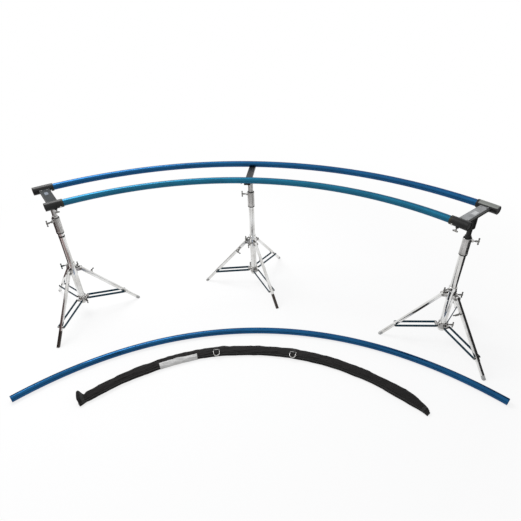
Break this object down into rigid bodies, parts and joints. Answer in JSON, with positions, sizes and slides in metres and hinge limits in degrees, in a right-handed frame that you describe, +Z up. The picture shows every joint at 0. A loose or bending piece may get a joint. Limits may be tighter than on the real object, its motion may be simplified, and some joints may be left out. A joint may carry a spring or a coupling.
{
  "type": "curved dolly track",
  "caption": "Curved camera dolly track: blue pipe rails clamped in brackets on folding chrome stands, with a loose rail and the soft rail bag lying in front.",
  "frame": {"origin": "on the floor, under the middle of the whole object's bounding box", "axes": "+X along the track's chord, to the right in the picture; +Y away from the centre of the track's curve, to the back; +Z up"},
  "size_m": [3.2298, 1.736, 0.9811],
  "materials": {
    "rail_blue": "bright blue anodised pipe",
    "brace_blue": "dark blue bars",
    "black_anodised": "satin black anodised",
    "chrome": "polished chrome plate, lightly worn",
    "dull_steel": "plain zinc plated steel",
    "black_nylon": "black woven nylon"
  },
  "bodies": {
    "track": {"outer_rail": "rail_blue", "inner_rail": "rail_blue", "left_bracket": "black_anodised", "middle_bracket": "black_anodised", "right_bracket": "black_anodised"},
    "left_inner_clamp": {"left_inner_clamp": "dull_steel"},
    "left_outer_clamp": {"left_outer_clamp": "dull_steel"},
    "middle_clamp": {"middle_clamp": "dull_steel"},
    "right_inner_clamp": {"right_inner_clamp": "dull_steel"},
    "right_outer_clamp": {"right_outer_clamp": "dull_steel"},
    "left_riser": {"left_top_casting": "chrome", "left_riser": "chrome"},
    "left_base_column": {"left_base_column": "chrome"},
    "left_receiver_handle": {"left_receiver_handle": "dull_steel"},
    "left_riser_handle": {"left_riser_handle": "dull_steel"},
    "left_hub_handle": {"left_hub_handle": "dull_steel"},
    "left_level_sleeve": {"left_level_sleeve": "chrome"},
    "left_level_leg": {"left_level_leg": "chrome"},
    "left_level_handle": {"left_level_handle": "dull_steel"},
    "left_leg_b": {"left_leg_b": "chrome"},
    "left_leg_c": {"left_leg_c": "chrome"},
    "left_brace_collar": {"left_brace_collar": "chrome"},
    "left_collar_handle": {"left_collar_handle": "dull_steel"},
    "left_brace_a": {"left_brace_a": "brace_blue"},
    "left_brace_b": {"left_brace_b": "brace_blue"},
    "left_brace_c": {"left_brace_c": "brace_blue"},
    "middle_riser": {"middle_top_casting": "chrome", "middle_riser": "chrome"},
    "middle_base_column": {"middle_base_column": "chrome"},
    "middle_receiver_handle": {"middle_receiver_handle": "dull_steel"},
    "middle_riser_handle": {"middle_riser_handle": "dull_steel"},
    "middle_hub_handle": {"middle_hub_handle": "dull_steel"},
    "middle_level_sleeve": {"middle_level_sleeve": "chrome"},
    "middle_level_leg": {"middle_level_leg": "chrome"},
    "middle_level_handle": {"middle_level_handle": "dull_steel"},
    "middle_leg_b": {"middle_leg_b": "chrome"},
    "middle_leg_c": {"middle_leg_c": "chrome"},
    "middle_brace_collar": {"middle_brace_collar": "chrome"},
    "middle_collar_handle": {"middle_collar_handle": "dull_steel"},
    "middle_brace_a": {"middle_brace_a": "brace_blue"},
    "middle_brace_b": {"middle_brace_b": "brace_blue"},
    "middle_brace_c": {"middle_brace_c": "brace_blue"},
    "right_riser": {"right_top_casting": "chrome", "right_riser": "chrome"},
    "right_base_column": {"right_base_column": "chrome"},
    "right_receiver_handle": {"right_receiver_handle": "dull_steel"},
    "right_riser_handle": {"right_riser_handle": "dull_steel"},
    "right_hub_handle": {"right_hub_handle": "dull_steel"},
    "right_level_sleeve": {"right_level_sleeve": "chrome"},
    "right_level_leg": {"right_level_leg": "chrome"},
    "right_level_handle": {"right_level_handle": "dull_steel"},
    "right_leg_b": {"right_leg_b": "chrome"},
    "right_leg_c": {"right_leg_c": "chrome"},
    "right_brace_collar": {"right_brace_collar": "chrome"},
    "right_collar_handle": {"right_collar_handle": "dull_steel"},
    "right_brace_a": {"right_brace_a": "brace_blue"},
    "right_brace_b": {"right_brace_b": "brace_blue"},
    "right_brace_c": {"right_brace_c": "brace_blue"},
    "loose_rail": {"loose_rail": "rail_blue"},
    "rail_bag": {"rail_bag": "black_nylon"}
  },
  "joints": [
    {"name": "left_inner_clamp_screw", "type": "hinge", "parent": "track", "child": "left_inner_clamp", "pos_m": [-1.16059, -0.11434, 0.955], "axis": [0.3912, -0.4195, -0.8192], "range_deg": [0, 180]},
    {"name": "left_outer_clamp_screw", "type": "hinge", "parent": "track", "child": "left_outer_clamp", "pos_m": [-1.36132, 0.10184, 0.955], "axis": [-0.3912, 0.4195, -0.8192], "range_deg": [0, 180]},
    {"name": "middle_clamp_screw", "type": "hinge", "parent": "track", "child": "middle_clamp", "pos_m": [-0.03515, 0.38086, 0.93092], "axis": [-0.9994, -0.0349, 0], "range_deg": [0, 180]},
    {"name": "right_inner_clamp_screw", "type": "hinge", "parent": "track", "child": "right_inner_clamp", "pos_m": [1.21419, -0.11434, 0.955], "axis": [-0.3912, -0.4195, -0.8192], "range_deg": [0, 180]},
    {"name": "right_outer_clamp_screw", "type": "hinge", "parent": "track", "child": "right_outer_clamp", "pos_m": [1.41492, 0.10184, 0.955], "axis": [0.3912, 0.4195, -0.8192], "range_deg": [0, 180]},
    {"name": "left_swivel", "type": "hinge", "parent": "track", "child": "left_riser", "pos_m": [-1.26388, -0.00897, 0.806], "axis": [0, 0, 1], "continuous": true},
    {"name": "left_height", "type": "slide", "parent": "left_riser", "child": "left_base_column", "axis": [0, 0, 1], "range_m": [-0.135, 0.155]},
    {"name": "left_receiver_screw", "type": "hinge", "parent": "left_riser", "child": "left_receiver_handle", "pos_m": [-1.26388, -0.00897, 0.785], "axis": [-0.515, -0.8572, 0], "range_deg": [0, 180]},
    {"name": "left_riser_screw", "type": "hinge", "parent": "left_base_column", "child": "left_riser_handle", "pos_m": [-1.26388, -0.00897, 0.4335], "axis": [-0.8192, -0.5736, 0], "range_deg": [0, 180]},
    {"name": "left_hub_screw", "type": "hinge", "parent": "left_base_column", "child": "left_hub_handle", "pos_m": [-1.26388, -0.00897, 0.385], "axis": [0.0175, 0.9998, 0], "range_deg": [0, 180]},
    {"name": "left_fold", "type": "hinge", "parent": "left_base_column", "child": "left_level_sleeve", "pos_m": [-1.21827, 0.01631, 0.385], "axis": [-0.4848, 0.8746, 0], "range_deg": [0, 34.9]},
    {"name": "left_level_slide", "type": "slide", "parent": "left_level_sleeve", "child": "left_level_leg", "axis": [0.5841, 0.3238, -0.7443], "range_m": [0, 0.08]},
    {"name": "left_level_screw", "type": "hinge", "parent": "left_level_sleeve", "child": "left_level_handle", "pos_m": [-1.16453, 0.0461, 0.31652], "axis": [-0.4848, 0.8746, 0], "range_deg": [0, 180]},
    {"name": "left_leg_b_fold", "type": "hinge", "parent": "left_base_column", "child": "left_leg_b", "pos_m": [-1.30858, 0.01789, 0.385], "axis": [-0.515, -0.8572, 0], "range_deg": [0, 34.9]},
    {"name": "left_leg_c_fold", "type": "hinge", "parent": "left_base_column", "child": "left_leg_c", "pos_m": [-1.26479, -0.06112, 0.385], "axis": [0.9998, -0.0175, 0], "range_deg": [0, 34.9]},
    {"name": "left_collar_slide", "type": "slide", "parent": "left_base_column", "child": "left_brace_collar", "axis": [0, 0, 1], "range_m": [0, 0.1416]},
    {"name": "left_collar_screw", "type": "hinge", "parent": "left_brace_collar", "child": "left_collar_handle", "pos_m": [-1.26388, -0.00897, 0.129], "axis": [0.8572, -0.515, 0], "range_deg": [0, 180]},
    {"name": "left_brace_a_fold", "type": "hinge", "parent": "left_brace_collar", "child": "left_brace_a", "pos_m": [-1.22903, 0.01035, 0.129], "axis": [-0.4848, 0.8746, 0], "range_deg": [0, 72.32]},
    {"name": "left_brace_b_fold", "type": "hinge", "parent": "left_brace_collar", "child": "left_brace_b", "pos_m": [-1.29804, 0.01155, 0.129], "axis": [-0.515, -0.8572, 0], "range_deg": [0, 72.32]},
    {"name": "left_brace_c_fold", "type": "hinge", "parent": "left_brace_collar", "child": "left_brace_c", "pos_m": [-1.26458, -0.04882, 0.129], "axis": [0.9998, -0.0175, 0], "range_deg": [0, 72.32]},
    {"name": "middle_swivel", "type": "hinge", "parent": "track", "child": "middle_riser", "pos_m": [-0.03925, 0.49829, 0.806], "axis": [0, 0, 1], "continuous": true},
    {"name": "middle_height", "type": "slide", "parent": "middle_riser", "child": "middle_base_column", "axis": [0, 0, 1], "range_m": [-0.135, 0.155]},
    {"name": "middle_receiver_screw", "type": "hinge", "parent": "middle_riser", "child": "middle_receiver_handle", "pos_m": [-0.03925, 0.49829, 0.785], "axis": [-1, 0.0017, 0], "range_deg": [0, 180]},
    {"name": "middle_riser_screw", "type": "hinge", "parent": "middle_base_column", "child": "middle_riser_handle", "pos_m": [-0.03925, 0.49829, 0.4335], "axis": [-0.7083, -0.7059, 0], "range_deg": [0, 180]},
    {"name": "middle_hub_screw", "type": "hinge", "parent": "middle_base_column", "child": "middle_hub_handle", "pos_m": [-0.03925, 0.49829, 0.385], "axis": [-0.3437, -0.9391, 0], "range_deg": [0, 180]},
    {"name": "middle_fold", "type": "hinge", "parent": "middle_base_column", "child": "middle_level_sleeve", "pos_m": [-0.09121, 0.49383, 0.385], "axis": [0.0854, -0.9963, 0], "range_deg": [0, 34.9]},
    {"name": "middle_level_slide", "type": "slide", "parent": "middle_level_sleeve", "child": "middle_level_leg", "axis": [-0.6654, -0.057, -0.7443], "range_m": [0, 0.08]},
    {"name": "middle_level_screw", "type": "hinge", "parent": "middle_level_sleeve", "child": "middle_level_handle", "pos_m": [-0.15242, 0.48858, 0.31652], "axis": [0.0854, -0.9963, 0], "range_deg": [0, 180]},
    {"name": "middle_leg_b_fold", "type": "hinge", "parent": "middle_base_column", "child": "middle_leg_b", "pos_m": [-0.00941, 0.45552, 0.385], "axis": [0.8202, 0.5721, 0], "range_deg": [0, 34.9]},
    {"name": "middle_leg_c_fold", "type": "hinge", "parent": "middle_base_column", "child": "middle_leg_c", "pos_m": [-0.01713, 0.54551, 0.385], "axis": [-0.9056, 0.4242, 0], "range_deg": [0, 34.9]},
    {"name": "middle_collar_slide", "type": "slide", "parent": "middle_base_column", "child": "middle_brace_collar", "axis": [0, 0, 1], "range_m": [0, 0.1416]},
    {"name": "middle_collar_screw", "type": "hinge", "parent": "middle_brace_collar", "child": "middle_collar_handle", "pos_m": [-0.03925, 0.49829, 0.129], "axis": [-0.5721, 0.8202, 0], "range_deg": [0, 180]},
    {"name": "middle_brace_a_fold", "type": "hinge", "parent": "middle_brace_collar", "child": "middle_brace_a", "pos_m": [-0.07895, 0.49488, 0.129], "axis": [0.0854, -0.9963, 0], "range_deg": [0, 72.32]},
    {"name": "middle_brace_b_fold", "type": "hinge", "parent": "middle_brace_collar", "child": "middle_brace_b", "pos_m": [-0.01645, 0.4656, 0.129], "axis": [0.8202, 0.5721, 0], "range_deg": [0, 72.32]},
    {"name": "middle_brace_c_fold", "type": "hinge", "parent": "middle_brace_collar", "child": "middle_brace_c", "pos_m": [-0.02234, 0.53437, 0.129], "axis": [-0.9056, 0.4242, 0], "range_deg": [0, 72.32]},
    {"name": "right_swivel", "type": "hinge", "parent": "track", "child": "right_riser", "pos_m": [1.31748, -0.00897, 0.806], "axis": [0, 0, 1], "range_deg": [-8, 17]},
    {"name": "right_height", "type": "slide", "parent": "right_riser", "child": "right_base_column", "axis": [0, 0, 1], "range_m": [-0.135, 0.155]},
    {"name": "right_receiver_screw", "type": "hinge", "parent": "right_riser", "child": "right_receiver_handle", "pos_m": [1.31748, -0.00897, 0.785], "axis": [0.9956, -0.0941, 0], "range_deg": [0, 180]},
    {"name": "right_riser_screw", "type": "hinge", "parent": "right_base_column", "child": "right_riser_handle", "pos_m": [1.31748, -0.00897, 0.4335], "axis": [-0.9018, -0.4321, 0], "range_deg": [0, 180]},
    {"name": "right_hub_screw", "type": "hinge", "parent": "right_base_column", "child": "right_hub_handle", "pos_m": [1.31748, -0.00897, 0.385], "axis": [0.9999, 0.0105, 0], "range_deg": [0, 180]},
    {"name": "right_fold", "type": "hinge", "parent": "right_base_column", "child": "right_level_sleeve", "pos_m": [1.34403, -0.05386, 0.385], "axis": [0.8607, 0.509, 0], "range_deg": [0, 34.9]},
    {"name": "right_level_slide", "type": "slide", "parent": "right_level_sleeve", "child": "right_level_leg", "axis": [0.34, -0.5748, -0.7443], "range_m": [0, 0.08]},
    {"name": "right_level_screw", "type": "hinge", "parent": "right_level_sleeve", "child": "right_level_handle", "pos_m": [1.3753, -0.10675, 0.31652], "axis": [-0.8607, -0.509, 0], "range_deg": [0, 180]},
    {"name": "right_leg_b_fold", "type": "hinge", "parent": "right_base_column", "child": "right_leg_b", "pos_m": [1.34308, 0.03646, 0.385], "axis": [-0.8712, 0.4909, 0], "range_deg": [0, 34.9]},
    {"name": "right_leg_c_fold", "type": "hinge", "parent": "right_base_column", "child": "right_leg_c", "pos_m": [1.26534, -0.00952, 0.385], "axis": [0.0105, -0.9999, 0], "range_deg": [0, 34.9]},
    {"name": "right_collar_slide", "type": "slide", "parent": "right_base_column", "child": "right_brace_collar", "axis": [0, 0, 1], "range_m": [0, 0.1416]},
    {"name": "right_collar_screw", "type": "hinge", "parent": "right_brace_collar", "child": "right_collar_handle", "pos_m": [1.31748, -0.00897, 0.129], "axis": [0.9999, 0.0105, 0], "range_deg": [0, 180]},
    {"name": "right_brace_a_fold", "type": "hinge", "parent": "right_brace_collar", "child": "right_brace_a", "pos_m": [1.33777, -0.04327, 0.129], "axis": [0.8607, 0.509, 0], "range_deg": [0, 72.32]},
    {"name": "right_brace_b_fold", "type": "hinge", "parent": "right_brace_collar", "child": "right_brace_b", "pos_m": [1.33704, 0.02575, 0.129], "axis": [-0.8712, 0.4909, 0], "range_deg": [0, 72.32]},
    {"name": "right_brace_c_fold", "type": "hinge", "parent": "right_brace_collar", "child": "right_brace_c", "pos_m": [1.27763, -0.00939, 0.129], "axis": [0.0105, -0.9999, 0], "range_deg": [0, 72.32]},
    {"name": "loose_rail_lift", "type": "slide", "parent": "track", "child": "loose_rail", "axis": [0, 0, 1], "range_m": [0, 1.2]},
    {"name": "rail_bag_lift", "type": "slide", "parent": "track", "child": "rail_bag", "axis": [0, 0, 1], "range_m": [0, 1.2]}
  ],
  "couplings": [
    {"joint": "left_leg_b_fold", "follows": "left_fold", "ratio": 1},
    {"joint": "left_leg_c_fold", "follows": "left_fold", "ratio": 1},
    {"joint": "left_collar_slide", "follows": "left_fold", "m_per_rad": 0.23163},
    {"joint": "left_brace_a_fold", "follows": "left_fold", "ratio": 2.0707},
    {"joint": "left_brace_b_fold", "follows": "left_fold", "ratio": 2.0707},
    {"joint": "left_brace_c_fold", "follows": "left_fold", "ratio": 2.0707},
    {"joint": "middle_leg_b_fold", "follows": "middle_fold", "ratio": 1},
    {"joint": "middle_leg_c_fold", "follows": "middle_fold", "ratio": 1},
    {"joint": "middle_collar_slide", "follows": "middle_fold", "m_per_rad": 0.23163},
    {"joint": "middle_brace_a_fold", "follows": "middle_fold", "ratio": 2.0707},
    {"joint": "middle_brace_b_fold", "follows": "middle_fold", "ratio": 2.0707},
    {"joint": "middle_brace_c_fold", "follows": "middle_fold", "ratio": 2.0707},
    {"joint": "right_leg_b_fold", "follows": "right_fold", "ratio": 1},
    {"joint": "right_leg_c_fold", "follows": "right_fold", "ratio": 1},
    {"joint": "right_collar_slide", "follows": "right_fold", "m_per_rad": 0.23163},
    {"joint": "right_brace_a_fold", "follows": "right_fold", "ratio": 2.0707},
    {"joint": "right_brace_b_fold", "follows": "right_fold", "ratio": 2.0707},
    {"joint": "right_brace_c_fold", "follows": "right_fold", "ratio": 2.0707}
  ]
}
